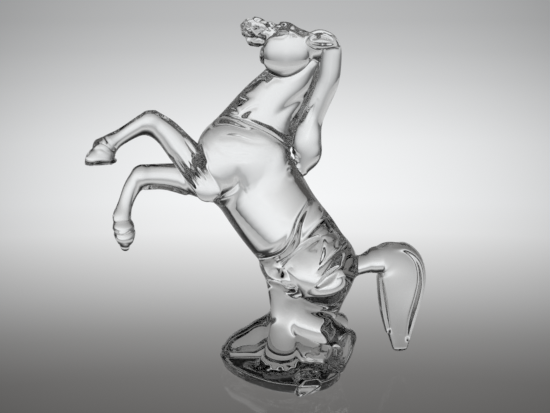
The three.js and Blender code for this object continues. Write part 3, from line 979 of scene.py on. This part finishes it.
def crystal_material(look):
    """Polished clear crystal, with the faint unevenness of flame-finished glass."""
    shader = Shader("polished_crystal")
    place = shader.node("ShaderNodeTexCoord", None, output=3)
    drift = shader.node(
        "ShaderNodeTexNoise", {"noise_dimensions": "3D"}, Vector=place, Scale=18.0, Detail=2.0
    )
    ripple = shader.node("ShaderNodeBump", None, Height=drift, Strength=0.04, Distance=0.001)
    glass = shader.node(
        "ShaderNodeBsdfPrincipled",
        None,
        Base_Color=(*look.crystal_colour, 1.0),
        Roughness=drift * look.crystal_haze,
        IOR=look.crystal_ior,
        Normal=ripple,
        **{"Transmission_Weight": 1.0},
    )
    return shader.finish(glass)


def seam_material():
    """The unseen weld between two masses, inside the crystal."""
    shader = Shader("clear_weld")
    return shader.finish(shader.node("ShaderNodeBsdfTransparent"))


def grey(value, tint=0.0):
    return (value * (1 - tint), value, value * (1 + tint), 1.0)


RING_REACH = 5.2  # metres from the light ring's middle to the end of its ramp
RING_AHEAD = 0.35  # metres from the figure to the ring's middle, on the near side
RING_BREADTH = 0.3  # how slowly the ring changes sideways, against lengthways
BEAM_AHEAD = 0.9  # metres from the figure to the light beam's narrow end, on the near side
BEAM_SOFTNESS = 0.2  # square metres that blunt the beam's narrow end
BEAM_FALL = 5.0  # how fast the light falls off at the beam's sides
BEAM_LEAST = 0.22  # light that is left beside the beam
FLOOR_GLOW = 1.07
FLOOR_SHINE = 0.1  # share of the floor that mirrors
LIGHT_RING = [  # brightness from the ring's dark middle, over the ring, to the floor's far edge
    (0.040, grey(0.100, -0.03)),
    (0.068, grey(0.190, -0.02)),
    (0.084, grey(0.310, -0.01)),
    (0.104, grey(0.540)),
    (0.121, grey(0.700)),
    (0.141, grey(0.880, 0.005)),
    (0.166, grey(0.930, 0.01)),
    (0.232, grey(0.860, 0.01)),
    (0.278, grey(0.760, 0.01)),
    (0.340, grey(0.650, 0.01)),
    (0.424, grey(0.550, 0.01)),
    (0.545, grey(0.470, 0.01)),
    (0.666, grey(0.450, 0.01)),
    (0.900, grey(0.455, 0.01)),
]


def floor_material(look):
    """A satin sheet that glows: a ring of light beyond the figure, and a dark foot."""
    shader = Shader("studio_floor")
    x, y = shader.axis("X"), shader.axis("Y")
    along_ring = y + RING_AHEAD
    away = (along_ring * along_ring + x * x * RING_BREADTH) ** 0.5
    ring = shader.ramp(LIGHT_RING, "LINEAR", away / RING_REACH)
    along_beam = y + BEAM_AHEAD
    aside = x * x / (along_beam * along_beam + BEAM_SOFTNESS)
    fall = (1 - aside * BEAM_FALL).clamped(BEAM_LEAST, 1.0)
    glow = shader.multiplied(ring, shader.node("ShaderNodeCombineColor", None, fall, fall, fall))
    sheet = shader.node(
        "ShaderNodeBsdfPrincipled",
        None,
        Base_Color=grey(0.0),
        Roughness=1.0,
        Specular_IOR_Level=0.0,
        Emission_Color=glow,
        Emission_Strength=FLOOR_GLOW * look.stage_light,
    )
    shine = shader.node(
        "ShaderNodeBsdfPrincipled", None, Base_Color=grey(0.9), Metallic=1.0, Roughness=0.06
    )
    return shader.finish(shader.node("ShaderNodeMixShader", None, FLOOR_SHINE, sheet, shine))


BACKDROP_RISE = [  # brightness from the floor's edge up to overhead
    (0.0, grey(0.47)),
    (0.06, grey(0.53)),
    (0.13, grey(0.64)),
    (0.19, grey(0.58)),
    (0.28, grey(0.24)),
    (0.38, grey(0.05)),
    (0.50, grey(0.01)),
    (1.0, grey(0.004)),
]
BACKDROP_TURN = [  # brightness from the near side round to the far side
    (0.0, grey(0.12)),
    (0.2, grey(0.03)),
    (0.5, grey(0.006)),
    (0.78, grey(0.02)),
    (0.86, grey(0.95)),
    (1.0, grey(1.0)),
]


def backdrop_material(look):
    """Soft light that is brightest low down on the far side, and dim elsewhere."""
    shader = Shader("studio_backdrop")
    place = shader.node("ShaderNodeNewGeometry")
    aim = shader.node("ShaderNodeVectorMath", {"operation": "NORMALIZE"}, place)
    height = shader.node("ShaderNodeSeparateXYZ", None, aim, output=2)
    behind = shader.node("ShaderNodeSeparateXYZ", None, aim, output=1)
    rise = shader.ramp(BACKDROP_RISE, "EASE", height)
    turn = shader.ramp(BACKDROP_TURN, "EASE", behind * 0.5 + 0.5)
    cloth = shader.node(
        "ShaderNodeBsdfPrincipled",
        None,
        Base_Color=grey(0.0),
        Roughness=1.0,
        Specular_IOR_Level=0.0,
        Emission_Color=shader.multiplied(rise, turn),
        Emission_Strength=look.stage_light,
    )
    return shader.finish(cloth)


def shade_material():
    """The dark under the plinth, where no light reaches the floor."""
    shader = Shader("foot_shade")
    dark = shader.node("ShaderNodeBsdfPrincipled", None, Base_Color=grey(0.01), Roughness=1.0)
    return shader.finish(dark)


# ----------------------------------------------------------------------------- properties


class HorseSizes(bpy.types.PropertyGroup):
    """Sizes that a user would change."""

    grain: bpy.props.FloatProperty(
        name="Skin fineness",
        description="Spacing of the skin's points, in hundredths of the figure's height",
        default=0.36,
        min=0.2,
        max=2.0,
    )


class HorseLook(bpy.types.PropertyGroup):
    """Colours and finishes that a user would change."""

    crystal_colour: bpy.props.FloatVectorProperty(
        name="Crystal colour",
        description="Tint of the crystal, almost none in clear crystal",
        subtype="COLOR",
        default=(0.985, 0.99, 0.99),
        min=0.0,
        max=1.0,
    )
    crystal_ior: bpy.props.FloatProperty(
        name="Crystal refraction",
        description="How strongly the crystal bends light",
        default=1.55,
        min=1.3,
        max=1.8,
    )
    crystal_haze: bpy.props.FloatProperty(
        name="Crystal haze",
        description="Unevenness of the polish",
        default=0.02,
        min=0.0,
        max=0.5,
    )
    stage_light: bpy.props.FloatProperty(
        name="Stage light",
        description="Brightness of the floor and backdrop",
        default=1.0,
        min=0.0,
        max=10.0,
    )


# ------------------------------------------------------------------------------ operators


def clay_of(context):
    """The clay figure that is being modelled, begun if there is none yet."""
    if "figure" not in CLAY:
        CLAY["figure"] = Clay(context.scene.horse_sizes.grain)
    return CLAY["figure"]


class HORSE_OT_base(bpy.types.Operator):
    """Model the plinth, its rock and the mound"""

    bl_idname = "horse.base"
    bl_label = "Base"

    def execute(self, context):
        add_base(clay_of(context))
        return {"FINISHED"}


class HORSE_OT_trunk(bpy.types.Operator):
    """Model the barrel and the shoulders"""

    bl_idname = "horse.trunk"
    bl_label = "Trunk"

    def execute(self, context):
        add_trunk(clay_of(context))
        return {"FINISHED"}


class HORSE_OT_hind_legs(bpy.types.Operator):
    """Model the haunches and the hind legs"""

    bl_idname = "horse.hind_legs"
    bl_label = "Hind legs"

    def execute(self, context):
        add_hind_legs(clay_of(context))
        return {"FINISHED"}


class HORSE_OT_forelegs(bpy.types.Operator):
    """Model both forelegs"""

    bl_idname = "horse.forelegs"
    bl_label = "Forelegs"

    def execute(self, context):
        add_forelegs(clay_of(context))
        return {"FINISHED"}


class HORSE_OT_head(bpy.types.Operator):
    """Model the neck, the head, the ears and the mane"""

    bl_idname = "horse.head"
    bl_label = "Neck and head"

    def execute(self, context):
        add_neck_and_head(clay_of(context))
        return {"FINISHED"}


class HORSE_OT_tail(bpy.types.Operator):
    """Model the tail"""

    bl_idname = "horse.tail"
    bl_label = "Tail"

    def execute(self, context):
        add_tail(clay_of(context))
        return {"FINISHED"}


class HORSE_OT_creases(bpy.types.Operator):
    """Score the sharp lines between the muscles and work the glass uneven"""

    bl_idname = "horse.creases"
    bl_label = "Creases"

    def execute(self, context):
        score_creases(clay_of(context))
        return {"FINISHED"}


class HORSE_OT_cast(bpy.types.Operator):
    """Cast the clay in crystal, one closed piece for each mass"""

    bl_idname = "horse.cast"
    bl_label = "Cast in crystal"

    def execute(self, context):
        clay = CLAY.pop("figure")
        clay.flatten(0.0)
        points, quads, normals, labels = clay.skin()
        labels = joined_labels(quads, labels, len(clay.names))
        materials = [crystal_material(context.scene.horse_look), seam_material()]
        for number, name in enumerate(clay.names):
            mine = quads[labels == number]
            if not len(mine):
                raise RuntimeError(f"no skin was left for {name}")
            cast_piece(name, points, mine, normals, materials)
        return {"FINISHED"}


STAGE_RADIUS = 4.6  # metres
FLOOR_DROP, SHADE_DROP = 0.0004, 0.0002  # metres that the floor and the shade lie below the foot
CAMERA_PLACE = (-2.1, -270.0, 131.7)
CAMERA_DOWN = 17.0  # degrees
CAMERA_LENS = 68.07  # millimetres


class HORSE_OT_stage(bpy.types.Operator):
    """Make the floor, the backdrop, the light and the camera"""

    bl_idname = "horse.stage"
    bl_label = "Stage"

    def execute(self, context):
        look = context.scene.horse_look
        floor = disc("floor", STAGE_RADIUS, floor_material(look))
        backdrop = dome("backdrop", STAGE_RADIUS, backdrop_material(look))
        share = FOOT_SHARE * PART
        foot = [(x * share, y * share, -SHADE_DROP) for x, y in PLINTH_OUTLINE]
        shade = stage_mesh("foot_shade", foot, [list(range(len(foot)))], shade_material())
        camera_at(CAMERA_PLACE, CAMERA_DOWN, CAMERA_LENS)
        scene = context.scene
        scene.view_settings.view_transform = "Standard"
        scene.cycles.max_bounces = 40
        scene.cycles.transmission_bounces = 32
        scene.cycles.glossy_bounces = 24
        scene.cycles.transparent_max_bounces = 64
        world = bpy.data.worlds.new("studio")
        world.use_nodes = True
        world.node_tree.nodes["Background"].inputs[0].default_value = grey(0.01)
        scene.world = world
        return {"FINISHED"}


def stage_mesh(name, points, faces, material):
    mesh = bpy.data.meshes.new(name)
    mesh.from_pydata(points, [], faces)
    mesh.materials.append(material)
    mesh.polygons.foreach_set("use_smooth", [True] * len(faces))
    made = bpy.data.objects.new(name, mesh)
    bpy.context.scene.collection.objects.link(made)
    return made


def disc(name, radius, material):
    """A round floor just under the figure."""
    count = 96
    turns = [2 * math.pi * i / count for i in range(count)]
    rim = [(radius * math.cos(turn), radius * math.sin(turn), -FLOOR_DROP) for turn in turns]
    return stage_mesh(name, rim, [list(range(count))], material)


def dome(name, radius, material):
    """Half a globe over the floor, seen from within."""
    around, up, sunk = 64, 20, 0.02
    points = []
    for j in range(up):
        lift = 0.5 * math.pi * j / up
        for i in range(around):
            turn = 2 * math.pi * i / around
            x = radius * math.cos(lift) * math.cos(turn)
            y = radius * math.cos(lift) * math.sin(turn)
            points.append((x, y, radius * math.sin(lift) - sunk))
    points.append((0, 0, radius - sunk))
    faces = []
    for j in range(up - 1):
        low, high = j * around, (j + 1) * around
        for i in range(around):
            after = (i + 1) % around
            faces.append((low + i, high + i, high + after, low + after))
    top = (up - 1) * around
    faces += [(top + i, len(points) - 1, top + (i + 1) % around) for i in range(around)]
    return stage_mesh(name, points, faces, material)


def camera_at(place, down, lens):
    """A level camera on the horse's near side, looking along +Y and a little down."""
    data = bpy.data.cameras.new("camera")
    data.lens, data.sensor_width = lens, 36.0
    data.clip_start, data.clip_end = 0.01, 50.0
    camera = bpy.data.objects.new("camera", data)
    camera.location = Vector(place) * PART
    camera.rotation_euler = (math.radians(90 - down), 0, 0)
    bpy.context.scene.collection.objects.link(camera)
    bpy.context.scene.camera = camera


class HORSE_PT_panel(bpy.types.Panel):
    """The steps that make the horse, in order"""

    bl_label = "Crystal Horse"
    bl_idname = "HORSE_PT_panel"
    bl_space_type = "VIEW_3D"
    bl_region_type = "UI"
    bl_category = "Crystal Horse"

    def draw(self, context):
        for group in (context.scene.horse_sizes, context.scene.horse_look):
            for name in group.__annotations__:
                self.layout.prop(group, name)
        for operator in OPERATORS:
            self.layout.operator(operator.bl_idname)


OPERATORS = [
    HORSE_OT_base,
    HORSE_OT_trunk,
    HORSE_OT_hind_legs,
    HORSE_OT_forelegs,
    HORSE_OT_head,
    HORSE_OT_tail,
    HORSE_OT_creases,
    HORSE_OT_cast,
    HORSE_OT_stage,
]
CLASSES = [HorseSizes, HorseLook, *OPERATORS, HORSE_PT_panel]


def register():
    for cls in CLASSES:
        bpy.utils.register_class(cls)
    bpy.types.Scene.horse_sizes = bpy.props.PointerProperty(type=HorseSizes)
    bpy.types.Scene.horse_look = bpy.props.PointerProperty(type=HorseLook)


def unregister():
    del bpy.types.Scene.horse_look
    del bpy.types.Scene.horse_sizes
    for cls in reversed(CLASSES):
        bpy.utils.unregister_class(cls)


def main():
    register()
    for operator in OPERATORS:
        getattr(bpy.ops.horse, operator.bl_idname.split(".")[1])()


if __name__ == "__main__":
    main()
